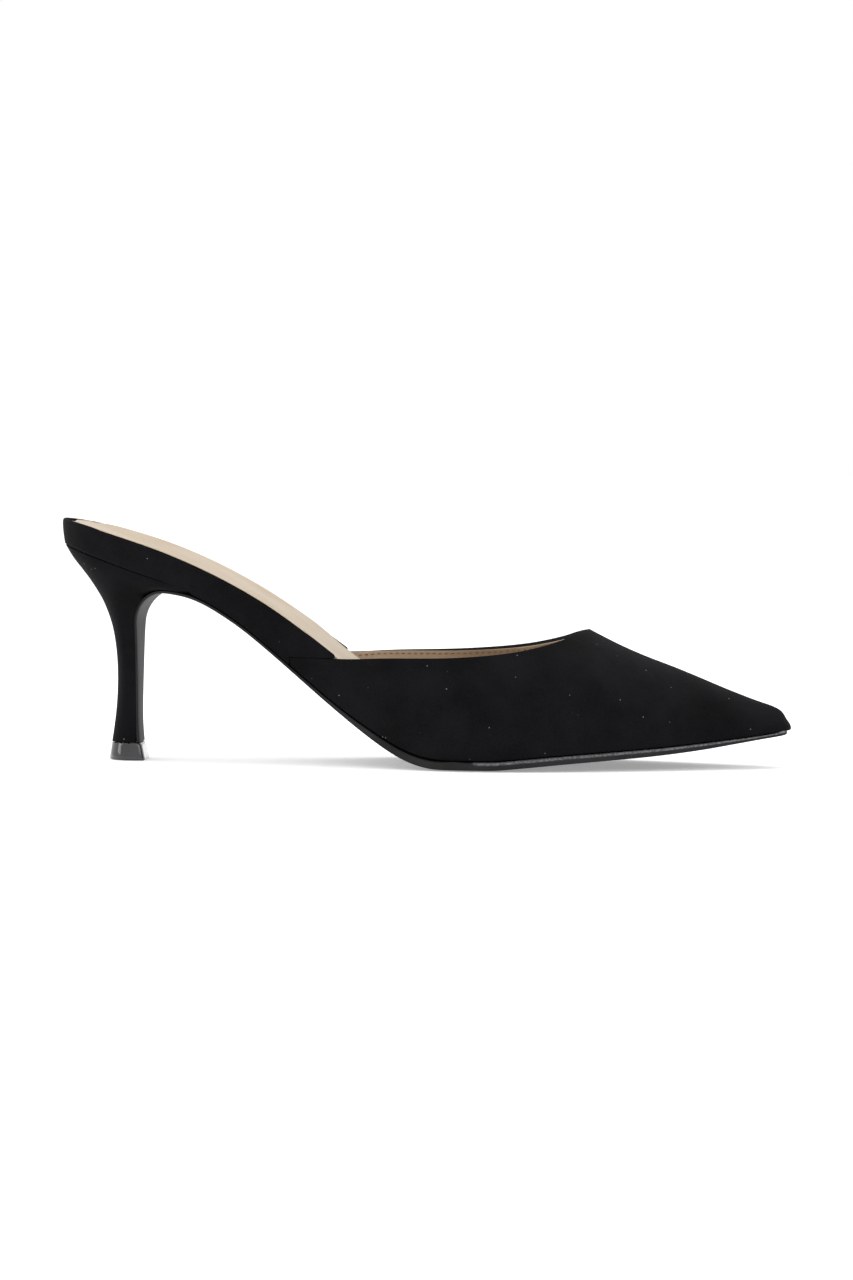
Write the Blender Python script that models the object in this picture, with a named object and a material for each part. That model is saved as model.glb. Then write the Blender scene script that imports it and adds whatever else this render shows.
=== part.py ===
"""A pointed, backless mule on a slim heel: the right shoe of a pair, standing empty on its sole.

While the shapes are made, x runs forward from the back of the heel, y towards the inner side
of the foot and z up from the floor. The finished shoe is then centred over the origin.
Lengths are in metres. Each table gives shares of the sizes named in its comment.
"""

import math

import bmesh
import bpy
from mathutils import Matrix, Vector

# Driving sizes
LENGTH = 0.250
BALL_WIDTH = 0.077
SEAT_WIDTH = 0.049
SEAT_LENGTH = 0.033
RIM_HEIGHT = 0.083
TOPLINE_HEIGHT = 0.0368
THROAT_HEIGHT = 0.0468
THROAT_STATION = 0.1816
TOE_SPRING = 0.0116
TOE_SHIFT = 0.0030
TOE_INSET = 0.0012

# Walls, sheets and gaps
UPPER_WALL = 0.0018
WRAP_WALL = 0.0017
SOLE_THICKNESS = 0.0033
FOOTBED_THICKNESS = 0.0050
FOOTBED_SINK = 0.0008
LEDGE = 0.0008
GAP = 0.0003
ROUNDING = 0.0005

# Vamp
VAMP_TAIL = 0.0026
WRAP_TAPER = 0.0018
NOSE_LENGTH = 0.0060
NOSE_DROP = 0.0028
NOSE_LIFT = 0.0003
NOSE_RUB_LENGTH = 0.0100
NOSE_RUBS = 6
TIP_ROUNDING = 0.0042
PEAK = 1.25

# Heel
BREAST = 0.0276
BREAST_FLARE = 0.0017
FLARE_HEIGHT = 0.0160
ARCH_TOP = 0.0579
FILLET_LENGTH = 0.0099
FILLET_RISE = 0.0109
HEEL_TIP_HEIGHT = 0.0060
HEEL_TIP_SPREAD = 0.0009
HEEL_STEM_WIDTH = 0.0142
HEEL_LIP = 0.0009
SEAT_FRONT = 0.0463
SEAT_STEP = 0.0005

# How far one form takes to run into the next
SEAT_BLEND = 0.050
BELLY_BLEND = 0.010
LEDGE_BLEND = 0.025
FLAP_BLEND = 0.004

# Shares of LENGTH, then of BALL_WIDTH: how far the wall reaches outwards and inwards.
PLAN = (
    ("station", "outer", "inner"),
    (0.132, 0.318, 0.318),
    (0.180, 0.316, 0.312),
    (0.240, 0.302, 0.293),
    (0.300, 0.296, 0.281),
    (0.340, 0.308, 0.287),
    (0.394, 0.342, 0.315),
    (0.440, 0.388, 0.358),
    (0.480, 0.431, 0.403),
    (0.520, 0.470, 0.449),
    (0.560, 0.496, 0.486),
    (0.592, 0.500, 0.500),
    (0.620, 0.497, 0.499),
    (0.660, 0.480, 0.482),
    (0.700, 0.449, 0.450),
    (0.740, 0.408, 0.410),
    (0.780, 0.361, 0.363),
    (0.820, 0.310, 0.311),
    (0.860, 0.257, 0.258),
    (0.900, 0.203, 0.203),
    (0.940, 0.148, 0.149),
    (0.970, 0.108, 0.108),
    (1.000, 0.070, 0.070),
)

# Shares of LENGTH and of RIM_HEIGHT: the rim, which runs on as the line under the foot.
RIM = (
    ("station", "height"),
    (0.000, 1.000),
    (0.037, 0.977),
    (0.090, 0.930),
    (0.150, 0.869),
    (0.210, 0.791),
    (0.270, 0.697),
    (0.330, 0.583),
    (0.385, 0.463),
    (0.420, 0.382),
    (0.450, 0.312),
    (0.480, 0.244),
    (0.510, 0.182),
    (0.540, 0.137),
    (0.570, 0.112),
    (0.600, 0.100),
    (1.000, 0.060),
)

# Shares of LENGTH, RIM_HEIGHT, TOE_SPRING, SOLE_THICKNESS and FOOTBED_THICKNESS: the underside
# of the sole, and how thick the sole and the footbed are.
SOLE = (
    ("station", "rise", "spring", "thickness", "bed"),
    (0.150, 0.6976, 0.0, 0.42, 1.00),
    (0.176, 0.6870, 0.0, 0.42, 1.00),
    (0.202, 0.6590, 0.0, 0.42, 1.00),
    (0.228, 0.6130, 0.0, 0.42, 1.00),
    (0.256, 0.5560, 0.0, 0.42, 1.00),
    (0.284, 0.4880, 0.0, 0.42, 1.00),
    (0.312, 0.4170, 0.0, 0.44, 1.00),
    (0.340, 0.3450, 0.0, 0.47, 1.00),
    (0.368, 0.2740, 0.0, 0.52, 1.00),
    (0.396, 0.2060, 0.0, 0.60, 1.00),
    (0.424, 0.1420, 0.0, 0.76, 1.00),
    (0.452, 0.0840, 0.0, 0.90, 1.00),
    (0.480, 0.0370, 0.0, 0.98, 0.98),
    (0.504, 0.0110, 0.0, 1.00, 0.95),
    (0.528, 0.0, 0.0, 1.00, 0.91),
    (0.600, 0.0, 0.0, 1.00, 0.84),
    (0.640, 0.0, 0.070, 1.00, 0.82),
    (0.700, 0.0, 0.190, 0.98, 0.80),
    (0.760, 0.0, 0.295, 0.94, 0.78),
    (0.820, 0.0, 0.405, 0.88, 0.74),
    (0.880, 0.0, 0.560, 0.78, 0.66),
    (0.920, 0.0, 0.700, 0.62, 0.56),
    (0.960, 0.0, 0.850, 0.45, 0.44),
    (1.000, 0.0, 1.000, 0.33, 0.40),
)

# Shares of LENGTH, TOPLINE_HEIGHT and THROAT_HEIGHT, and the share of its width that the
# wall pulls in above the sole: widest line, ridge along the top of the foot, tuck.
FORM = (
    ("station", "belly", "ridge", "tuck"),
    (0.000, 0.520, 2.60, 0.035),
    (0.132, 0.520, 2.40, 0.050),
    (0.308, 0.500, 2.10, 0.085),
    (0.394, 0.459, 1.86, 0.090),
    (0.440, 0.380, 1.70, 0.090),
    (0.480, 0.320, 1.58, 0.090),
    (0.560, 0.264, 1.38, 0.090),
    (0.640, 0.245, 1.20, 0.090),
    (0.7264, 0.200, 1.00, 0.090),
    (0.740, 0.190, 0.957, 0.090),
    (0.768, 0.170, 0.885, 0.090),
    (0.795, 0.154, 0.823, 0.090),
    (0.850, 0.132, 0.716, 0.090),
    (0.905, 0.100, 0.594, 0.090),
    (0.960, 0.070, 0.478, 0.100),
    (1.000, 0.040, 0.392, 0.110),
)

# Shares of THROAT_STATION and of the rise from TOPLINE_HEIGHT to THROAT_HEIGHT.
TOPLINE = (
    ("station", "rise"),
    (0.000, 0.00),
    (0.542, 0.00),
    (0.620, 0.07),
    (0.730, 0.11),
    (0.804, 0.19),
    (0.877, 0.35),
    (0.913, 0.49),
    (0.950, 0.68),
    (0.977, 0.87),
    (1.000, 1.00),
)

# Shares of LENGTH and RIM_HEIGHT for the back edge, and of the way from under the footbed down
# to the heel tip for the front edge. Spread is the share of the way from HEEL_STEM_WIDTH to the
# seat's width, flat the share of the width that is left at the front, and widest the share of
# the depth at which a section is widest.
HEEL = (
    ("front", "back", "back_height", "spread", "flat", "widest"),
    (0.000, 0.0044, 0.890, 1.000, 0.985, 0.70),
    (0.105, 0.0132, 0.846, 0.945, 0.970, 0.69),
    (0.200, 0.0256, 0.800, 0.820, 0.940, 0.68),
    (0.280, 0.0376, 0.756, 0.668, 0.940, 0.66),
    (0.345, 0.0487, 0.708, 0.514, 0.940, 0.65),
    (0.400, 0.0583, 0.660, 0.390, 0.945, 0.63),
    (0.450, 0.0662, 0.608, 0.297, 0.950, 0.62),
    (0.505, 0.0716, 0.550, 0.236, 0.955, 0.61),
    (0.570, 0.0752, 0.485, 0.176, 0.955, 0.60),
    (0.640, 0.0776, 0.410, 0.118, 0.955, 0.60),
    (0.710, 0.0782, 0.340, 0.070, 0.955, 0.60),
    (0.785, 0.0776, 0.265, 0.030, 0.950, 0.60),
    (0.855, 0.0756, 0.190, 0.010, 0.950, 0.60),
    (0.925, 0.0727, 0.125, 0.000, 0.950, 0.60),
    (1.000, 0.0702, 0.076, 0.012, 0.950, 0.60),
)

# Heights down the heel tip, with the share of HEEL_TIP_SPREAD at each, and how much of the
# spread shows at the front.
HEEL_TIP_PROFILE = (
    (HEEL_TIP_HEIGHT, 0.0),
    (0.5 * HEEL_TIP_HEIGHT, 0.6),
    (ROUNDING, 1.0),
    (0.0, 0.6),
)
HEEL_TIP_FRONT_SHARE = 0.3

# How finely the shapes are drawn, and how strongly lines crowd towards the toe
VAMP_LINES = 34
VAMP_STEPS = 15
VAMP_SIDE_STEPS = 4
WRAP_ARC_STEPS = 12
SOLE_STEPS = 62
FILLET_STEPS = 8
SEAT_STEPS = 10
WRAP_SEAT_STEPS = 4
HEEL_SIDE_STEPS = 8
SOLE_CROWDING = 1.25
FOOT_CROWDING = 1.35
HEAD_CROWDING = 1.75
NOSE_CROWDING = 6
RIDGE_CROWDING = 1.8


class Table:
    """Smooth curves through the rows of a table, one for each named column."""

    def __init__(self, rows):
        names, *values = rows
        self.columns = {name: [row[k] for row in values] for k, name in enumerate(names)}
        self.key = self.columns[names[0]]

    def slope(self, column, k):
        """The slope at a row, level at peaks and dips so that no curve overshoots."""
        xs, ys = self.key, self.columns[column]
        if k == 0 or k == len(xs) - 1:
            near = 1 if k == 0 else k
            return (ys[near] - ys[near - 1]) / (xs[near] - xs[near - 1])
        before = (ys[k] - ys[k - 1]) / (xs[k] - xs[k - 1])
        after = (ys[k + 1] - ys[k]) / (xs[k + 1] - xs[k])
        if before * after <= 0.0:
            return 0.0
        left, right = xs[k] - xs[k - 1], xs[k + 1] - xs[k]
        first, second = 2.0 * right + left, right + 2.0 * left
        return (first + second) / (first / before + second / after)

    def at(self, column, x):
        xs, ys = self.key, self.columns[column]
        if x <= xs[0]:
            return ys[0]
        if x >= xs[-1]:
            return ys[-1]
        k = next(i for i in range(1, len(xs)) if x <= xs[i]) - 1
        width = xs[k + 1] - xs[k]
        t = (x - xs[k]) / width
        low = self.slope(column, k) * width
        high = self.slope(column, k + 1) * width
        rest = (2 * t**3 - 3 * t**2 + 1) * ys[k] + (t**3 - 2 * t**2 + t) * low
        return rest + (3 * t**2 - 2 * t**3) * ys[k + 1] + (t**3 - t**2) * high


plan, rim_line, sole_line = Table(PLAN), Table(RIM), Table(SOLE)
form, topline, heel_form = Table(FORM), Table(TOPLINE), Table(HEEL)


def soft_max(a, b, blend):
    return 0.5 * (a + b + math.sqrt((a - b) ** 2 + blend**2))


def along_polyline(points, x):
    """The height of a side view line at x."""
    for (x0, z0), (x1, z1) in zip(points, points[1:]):
        if x0 <= x <= x1:
            return z0 + (z1 - z0) * (x - x0) / (x1 - x0)
    return points[0][1] if x < points[0][0] else points[-1][1]


# Side view of the sole: up the heel's front, round the fillet, down the waist and to the toe


def breast_x(z):
    """The front of the heel, nearly upright, with a small flare above the floor."""
    low = max(0.0, 1.0 - z / FLARE_HEIGHT)
    return BREAST + BREAST_FLARE * low**2


def sole_under(x):
    share = x / LENGTH
    rise = sole_line.at("rise", share) * RIM_HEIGHT
    arch = sole_line.columns["rise"][0] * RIM_HEIGHT
    return rise * ARCH_TOP / arch + sole_line.at("spring", share) * TOE_SPRING


def sole_route():
    """Points of the sole's outer face in side view, with the sheet's thickness at each."""
    thin = sole_line.at("thickness", 0.0) * SOLE_THICKNESS
    foot = HEEL_TIP_HEIGHT + GAP
    knee = ARCH_TOP - FILLET_RISE
    steps = FILLET_STEPS
    flap = [foot + (knee - foot) * k / steps for k in range(steps)]
    route = [(breast_x(z), z, thin) for z in flap]
    turn = [math.pi / 2 * k / FILLET_STEPS for k in range(FILLET_STEPS)]
    corner = BREAST + FILLET_LENGTH
    route += [
        (corner - FILLET_LENGTH * math.cos(a), knee + FILLET_RISE * math.sin(a), thin) for a in turn
    ]
    end = LENGTH - TOE_INSET
    for k in range(SOLE_STEPS + 1):
        x = corner + (end - corner) * (1.0 - (1.0 - k / SOLE_STEPS) ** SOLE_CROWDING)
        route.append((x, sole_under(x), sole_line.at("thickness", x / LENGTH) * SOLE_THICKNESS))
    return route


def offset_route(route, extra=0.0):
    """The sole's inner face: each point moved across the sheet, away from the floor."""
    moved = []
    for k, (x, z, thick) in enumerate(route):
        x0, z0, _ = route[max(k - 1, 0)]
        x1, z1, _ = route[min(k + 1, len(route) - 1)]
        along = Vector((x1 - x0, z1 - z0)).normalized()
        moved.append((x - along.y * (thick + extra), z + along.x * (thick + extra)))
    return moved


ROUTE = sole_route()
INNER_ROUTE = offset_route(ROUTE)
WAIST_TOP = [p for p in INNER_ROUTE if p[0] > BREAST + 0.5 * FILLET_LENGTH]


def sole_top(x):
    return along_polyline(WAIST_TOP, x)


# Heights of the body


def rim(x):
    return rim_line.at("height", x / LENGTH) * RIM_HEIGHT


def seat_line(x):
    """The straight joint between the heel and what it carries."""
    start = heel_form.columns["back"][0] * LENGTH
    back = heel_form.columns["back_height"][0] * RIM_HEIGHT + GAP
    front = sole_top(SEAT_FRONT) + GAP + HEEL_LIP + GAP
    return back + (front - back) * (x - start) / (SEAT_FRONT - start)


def nose_share(x):
    """0 behind the nose of the toe, 1 at its tip."""
    return min(1.0, max(0.0, (x - LENGTH + NOSE_LENGTH) / NOSE_LENGTH))


def feather(x):
    """The lower edge of the wrap, the upper and the footbed."""
    over_sole = sole_top(x) + GAP + NOSE_LIFT * nose_share(x) ** 2
    if x <= SEAT_FRONT:
        return seat_line(x)
    share = min(1.0, (x - SEAT_FRONT) / SEAT_STEP)
    return seat_line(SEAT_FRONT) * (1.0 - share) + over_sole * share


def belly(x):
    """How far above the feather line the wall is widest: the rim, as far as the vamp's corner."""
    table = min(form.at("belly", x / LENGTH) * TOPLINE_HEIGHT, 0.5 * (ridge(x) - feather(x)))
    to_rim = -soft_max(-table, feather(x) - rim(x), ROUNDING)
    fade = min(1.0, max(0.0, (x - CORNER) / BELLY_BLEND))
    return to_rim + (table - to_rim) * fade


def ridge(x):
    drop = NOSE_DROP * (1.0 - math.sqrt(1.0 - nose_share(x) ** 2))
    return form.at("ridge", x / LENGTH) * THROAT_HEIGHT - drop


def topline_height(x):
    share = topline.at("rise", x / THROAT_STATION)
    return TOPLINE_HEIGHT + share * (THROAT_HEIGHT - TOPLINE_HEIGHT)


def station_where(line, height):
    """Where a line that falls towards the toe comes down to a height."""
    low, high = SEAT_FRONT, 0.55 * LENGTH
    for _ in range(30):
        middle = 0.5 * (low + high)
        low, high = (middle, high) if line(middle) > height else (low, middle)
    return low


CORNER = station_where(rim, TOPLINE_HEIGHT)
VAMP_BACK = station_where(feather, TOPLINE_HEIGHT - VAMP_TAIL)


def footbed_top(x):
    thick = sole_line.at("bed", x / LENGTH) * FOOTBED_THICKNESS
    return soft_max(rim(x) - FOOTBED_SINK, sole_top(x) + GAP + thick, ROUNDING)


# Plan view and walls


def plan_half(x, side, inset=0.0):
    """Half width of the widest outline, pulled in all round by the inset."""
    column = "inner" if side > 0 else "outer"
    if x < SEAT_LENGTH:
        half = 0.5 * SEAT_WIDTH - inset
        depth = SEAT_LENGTH - inset
        return half * math.sqrt(max(0.0, 1.0 - ((SEAT_LENGTH - x) / depth) ** 2))
    seat = 0.5 * SEAT_WIDTH / (plan.columns[column][0] * BALL_WIDTH)
    fade = max(0.0, 1.0 - (x - SEAT_LENGTH) / SEAT_BLEND)
    half = plan.at(column, x / LENGTH) * BALL_WIDTH * (1.0 + (seat - 1.0) * fade)
    start = LENGTH - TIP_ROUNDING
    if x > start:
        reach = TIP_ROUNDING - min(inset, 0.6 * TIP_ROUNDING)
        half *= math.sqrt(max(0.0, 1.0 - min(1.0, (x - start) / reach) ** 2))
    return max(0.0, half - inset)


def tuck(x, z):
    """How far the wall stands in from its widest line, as a share of the half width."""
    low = feather(x)
    widest = low + belly(x)
    if z <= widest:
        depth = min(1.0, (widest - z) / max(widest - low, 1e-6))
        return form.at("tuck", x / LENGTH) * depth**2
    up = min(1.0, (z - widest) / max(ridge(x) - widest, 1e-6))
    return 1.0 - (1.0 - up**2) ** (0.5 * PEAK)


def wall_half(x, z, side, inset=0.0):
    """Half width of the wall's outer face at a height, less an inset."""
    pull = tuck(x, z) * plan_half(max(x, SEAT_LENGTH), side)
    if x < SEAT_LENGTH:
        return plan_half(x, side, inset + pull)
    return max(0.0, plan_half(x, side, inset) - tuck(x, z) * plan_half(x, side))


def inside_half(x, z, side, reach):
    """Half width that stays a reach away from the wall's outer face, which leans over the toe."""
    if x < CORNER:
        return wall_half(x, z, side, reach)
    turns = [math.pi / 2 * k / 6 for k in range(7)]
    return min(wall_half(x, z + reach * math.sin(a), side) - reach * math.cos(a) for a in turns)


def axis_y(x):
    """The middle line, which the toe bends towards the inner side of the foot."""
    return TOE_SHIFT * max(0.0, (x / LENGTH - 0.45) / 0.55) ** 2


# Meshes


def add_object(name, bm, material):
    bmesh.ops.remove_doubles(bm, verts=bm.verts, dist=1e-6)
    bmesh.ops.recalc_face_normals(bm, faces=bm.faces)
    mesh = bpy.data.meshes.new(name)
    bm.to_mesh(mesh)
    bm.free()
    mesh.materials.append(material)
    mesh.shade_smooth()
    mesh.set_sharp_from_angle(angle=math.radians(40.0))
    obj = bpy.data.objects.new(name, mesh)
    bpy.context.scene.collection.objects.link(obj)
    return obj


def loft(rings):
    """A closed solid through rings of equal point counts, with both ends capped."""
    bm = bmesh.new()
    rows = [[bm.verts.new(p) for p in ring] for ring in rings]
    for low, high in zip(rows, rows[1:]):
        count = len(low)
        for k in range(count):
            bm.faces.new((low[k], low[(k + 1) % count], high[(k + 1) % count], high[k]))
    bm.faces.new(reversed(rows[0]))
    bm.faces.new(rows[-1])
    return bm


def flat_material(name, colour, roughness):
    material = bpy.data.materials.new(name)
    material.use_nodes = True
    shader = material.node_tree.nodes["Principled BSDF"]
    shader.inputs["Base Color"].default_value = (*colour, 1.0)
    shader.inputs["Roughness"].default_value = roughness
    shader.inputs["Metallic"].default_value = 0.0
    return material


# Outsole


def front_line():
    """The heel's front face in side view, with the share of the way down at each point.

    The first point lies under the front of the seat. The others match the sole's, from its
    last point behind the seat's front to its first, above the floor.
    """
    route = offset_route(ROUTE, GAP)
    top = SEAT_FRONT - GAP
    points = [(top, along_polyline(route, top))]
    points += [p for p in reversed(route) if p[0] < top]
    ways = [0.0]
    for (x0, z0), (x1, z1) in zip(points, points[1:]):
        ways.append(ways[-1] + math.hypot(x1 - x0, z1 - z0))
    return [(way / ways[-1], x, z) for way, (x, z) in zip(ways, points)]


FRONT_LINE = front_line()


def heel_half(share):
    """Half width of the heel at a share of the way down its front."""
    seat = wall_half(SEAT_LENGTH, feather(SEAT_LENGTH), 1)
    stem = 0.5 * HEEL_STEM_WIDTH
    return stem + (seat - stem) * heel_form.at("spread", share)


def front_half(share):
    return heel_half(share) * heel_form.at("flat", share)


def sole_half(k, side):
    """Half width of the sole at a point of its route, from the heel's front to the toe."""
    x = ROUTE[k][0]
    behind = len(FRONT_LINE) - 1 - k
    if behind >= 1:
        return front_half(FRONT_LINE[behind][0])
    ledge = LEDGE * min(1.0, max(0.0, (x - CORNER) / LEDGE_BLEND))
    edge = wall_half(x, feather(x), side) + ledge
    near = min(1.0, max(0.0, (x - SEAT_FRONT) / FLAP_BLEND))
    return front_half(0.0) + (edge - front_half(0.0)) * near


def sole_ring(k):
    x, z, thick = ROUTE[k]
    xi, zi = INNER_ROUTE[k]
    up = Vector((xi - x, 0.0, zi - z)) / thick
    outer, inner = sole_half(k, -1), sole_half(k, 1)
    low, high = min(ROUNDING, 0.4 * thick), min(0.5 * ROUNDING, 0.2 * thick)
    low_in, high_in = min(low, 0.3 * outer), min(high, 0.2 * outer)
    across = (
        (-outer + low_in, 0.0),
        (-0.45 * outer, 0.0),
        (0.45 * inner, 0.0),
        (inner - low_in, 0.0),
        (inner, low),
        (inner, thick - high),
        (inner - high_in, thick),
        (0.45 * inner, thick),
        (-0.45 * outer, thick),
        (-outer + high_in, thick),
        (-outer, thick - high),
        (-outer, low),
    )
    base = Vector((x, axis_y(x), z))
    return [base + up * lift + Vector((0.0, y, 0.0)) for y, lift in across]


def make_outsole(material):
    return add_object("outsole", loft([sole_ring(k) for k in range(len(ROUTE))]), material)


# Upper


def vamp_point(x, phi, side):
    """A point of the vamp's outer face: phi runs from the sole, 0, to the ridge, 1."""
    low, up = feather(x), ridge(x)
    widest = low + belly(x)
    side_share = vamp_side_share(x)
    if phi <= side_share:
        z = low + (widest - low) * phi / side_share
    else:
        z = widest + (up - widest) * math.sin(0.5 * math.pi * (phi - side_share) / (1.0 - side_share))
    y = 0.0 if phi >= 1.0 else wall_half(x, z, side)
    return Vector((x, axis_y(x) + side * y, z))


def vamp_side_share(x):
    """The share of the way round that lies below the widest line."""
    side = belly(x)
    over = 0.55 * math.pi * (0.5 * (ridge(x) - feather(x) - side) + 0.5 * plan_half(x, 1))
    return side / (side + max(over, 1e-5))


def topline_phi(x):
    """How far round the vamp its topline lies."""
    low, up = feather(x), ridge(x)
    widest = low + belly(x)
    height = min(topline_height(x), up)
    side_share = vamp_side_share(x)
    if height <= widest:
        return side_share * (height - low) / (widest - low)
    turn = math.asin(min(1.0, (height - widest) / (up - widest)))
    return side_share + (1.0 - side_share) * turn / (0.5 * math.pi)


def vamp_line(share):
    """One line of the vamp from the sole to the topline, as (x, phi) steps.

    Lines near the back run straight up. At the toe they climb the nose and then follow the
    ridge back to the throat.
    """
    foot = VAMP_BACK + (LENGTH - VAMP_BACK) * share
    head = VAMP_BACK + (THROAT_STATION - VAMP_BACK) * (1.0 - (1.0 - share) ** HEAD_CROWDING)
    top = 1.0 if share >= 1.0 else topline_phi(head)
    nose = share**NOSE_CROWDING
    turn = VAMP_SIDE_STEPS / VAMP_STEPS
    steps = []
    for j in range(VAMP_STEPS + 1):
        v = j / VAMP_STEPS
        back = max(0.0, (v - turn) / (1.0 - turn)) ** RIDGE_CROWDING
        x = foot + (head - foot) * (v + nose * (back - v))
        climb = v + nose * (min(1.0, v / turn) - v)
        side = min(vamp_side_share(x), 0.5 * top)
        if climb < turn:
            steps.append((x, side * climb / turn))
        else:
            steps.append((x, side + (top - side) * (climb - turn) / (1.0 - turn)))
    return steps


def make_upper(material):
    bm = bmesh.new()
    lines = []
    shares = [1.0 - (1.0 - i / VAMP_LINES) ** FOOT_CROWDING for i in range(VAMP_LINES + 1)]
    for side, order in ((-1, shares), (1, list(reversed(shares))[1:])):
        for share in order:
            points = [vamp_point(x, phi, side) for x, phi in vamp_line(share)]
            lines.append([bm.verts.new(p) for p in points])
    for near, far in zip(lines, lines[1:]):
        for j in range(VAMP_STEPS):
            bm.faces.new((near[j], far[j], far[j + 1], near[j + 1]))
    nose = [v for v in bm.verts if v.co.x > LENGTH - NOSE_RUB_LENGTH]
    nose = [v for v in nose if v.co.z > feather(v.co.x) + belly(v.co.x)]
    for _ in range(NOSE_RUBS):
        bmesh.ops.smooth_vert(
            bm, verts=nose, factor=0.5, use_axis_x=True, use_axis_y=True, use_axis_z=True
        )
    obj = add_object("upper", bm, material)
    wall = obj.modifiers.new("wall", "SOLIDIFY")
    wall.thickness = UPPER_WALL
    wall.offset = -1.0
    wall.use_even_offset = True
    wall.use_quality_normals = True
    edge = obj.modifiers.new("edge", "BEVEL")
    edge.width = ROUNDING
    edge.segments = 2
    edge.limit_method = "ANGLE"
    edge.angle_limit = math.radians(60.0)
    return obj


# Footbed and its wrap


def footbed_ring(x):
    """A section of the footbed, hollowed a little across its top."""
    low, high = feather(x), footbed_top(x)
    reach = UPPER_WALL + 3.0 * GAP
    ring = []
    for side, order in ((-1, 1), (1, -1)):
        base = max(inside_half(x, low, side, reach), ROUNDING)
        top = max(inside_half(x, high, side, reach), ROUNDING)
        run = [
            (0.40 * base, low),
            (base, low),
            (0.5 * (min(base, top) + top), 0.5 * (low + high)),
            (top, high - ROUNDING),
            (0.96 * top, high),
            (0.45 * top, high - ROUNDING),
        ]
        points = [Vector((x, axis_y(x) + side * y, z)) for y, z in run]
        ring += points[::order]
    return ring


def make_footbed(material):
    back = WRAP_WALL + 2.0 * GAP + form.at("tuck", 0.0) * SEAT_WIDTH
    front = LENGTH - NOSE_LENGTH - UPPER_WALL
    turns = [math.pi / 2 * k / SEAT_STEPS for k in range(SEAT_STEPS + 1)]
    stations = [back + (SEAT_FRONT - back) * (1.0 - math.cos(a)) for a in turns]
    stations += waist_stations(front)
    return add_object("footbed", loft([footbed_ring(x) for x in stations]), material)


def waist_stations(end):
    """Stations that match the sole's, from the front of the heel seat to an end."""
    start = SEAT_FRONT + SEAT_STEP
    between = [x for x, _ in WAIST_TOP if start + ROUNDING < x < end - ROUNDING]
    return [start] + between + [end]


def wrap_stations():
    """Places round the wrap, from one vamp corner to the other, as (x, turn, side)."""
    arc = [math.pi / 2 * k / WRAP_ARC_STEPS for k in range(WRAP_ARC_STEPS)]
    straight = SEAT_FRONT - SEAT_LENGTH
    seat = [SEAT_LENGTH + straight * k / WRAP_SEAT_STEPS for k in range(WRAP_SEAT_STEPS + 1)]
    waist = waist_stations(CORNER - WRAP_TAPER)
    step = [VAMP_BACK - 2.0 * GAP, VAMP_BACK - GAP]
    run = seat + sorted(step + [x for x in waist if abs(x - VAMP_BACK) > 3.0 * GAP])
    half = [(None, a) for a in arc] + [(x, None) for x in run]
    return [(x, a, -1) for x, a in reversed(half)] + [(x, a, 1) for x, a in half[1:]]


def wrap_low(x):
    """The wrap's lower edge: along the sole, then up a step and along the top of the vamp."""
    if x < VAMP_BACK - 1.5 * GAP:
        return feather(x)
    return max(feather(x), TOPLINE_HEIGHT + GAP)


def wrap_ring(x, turn, side):
    """A section of the wrap: its outer face, a rounded top edge and its inner face."""

    def place(share, inset):
        """A point at a share of the height, set in from the outer face."""
        here = x if x is not None else SEAT_LENGTH * (1.0 - math.cos(turn))
        low = wrap_low(here)
        z = low + (rim(here) - low) * share
        pull = inset + tuck(here, z) * plan_half(max(here, SEAT_LENGTH), side)
        if x is not None:
            return Vector((x, axis_y(x) + side * plan_half(x, side, pull), z))
        depth, half = SEAT_LENGTH - pull, 0.5 * SEAT_WIDTH - pull
        return Vector((SEAT_LENGTH - depth * math.cos(turn), side * half * math.sin(turn), z))

    return [
        place(0.0, 0.0),
        place(0.3, 0.0),
        place(0.6, 0.0),
        place(0.90, 0.0),
        place(0.985, 0.22 * WRAP_WALL),
        place(1.0, 0.50 * WRAP_WALL),
        place(0.985, 0.78 * WRAP_WALL),
        place(0.90, WRAP_WALL),
        place(0.45, WRAP_WALL),
        place(0.0, WRAP_WALL),
    ]


def make_wrap(material):
    rings = [wrap_ring(*station) for station in wrap_stations()]
    return add_object("footbed_wrap", loft(rings), material)


# Heel


def heel_ring(share, x, z):
    """A tilted section of the heel, from its round back to its flat front at x and z."""
    back = Vector((heel_form.at("back", share) * LENGTH, 0.0, 0.0))
    back.z = heel_form.at("back_height", share) * RIM_HEIGHT
    front = Vector((x, 0.0, z))
    if share >= 1.0:
        front.z = back.z = HEEL_TIP_HEIGHT + GAP
    widest = heel_form.at("widest", share)
    return section_points(back, front, heel_half(share), front_half(share), widest)


def section_points(back, front, half, flat, widest):
    side = []
    for k in range(1, HEEL_SIDE_STEPS + 1):
        turn = 0.5 * math.pi * k / HEEL_SIDE_STEPS
        side.append((widest * (1.0 - math.cos(turn)), half * math.sin(turn)))
    side += [(0.5 * (widest + 1.0), 0.5 * (half + flat) + 0.15 * (half - flat)), (1.0, flat)]
    outer = [back.lerp(front, u) - Vector((0.0, y, 0.0)) for u, y in side]
    inner = [back.lerp(front, u) + Vector((0.0, y, 0.0)) for u, y in reversed(side)]
    return [back] + outer + inner


def make_heel(material):
    """The heel's top face lies under the seat, and its front edge there is a thin lip."""
    x = FRONT_LINE[0][1]
    rings = [heel_ring(0.0, x, seat_line(x) - GAP)]
    rings += [heel_ring(*point) for point in FRONT_LINE]
    return add_object("heel", loft(rings), material)


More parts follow.
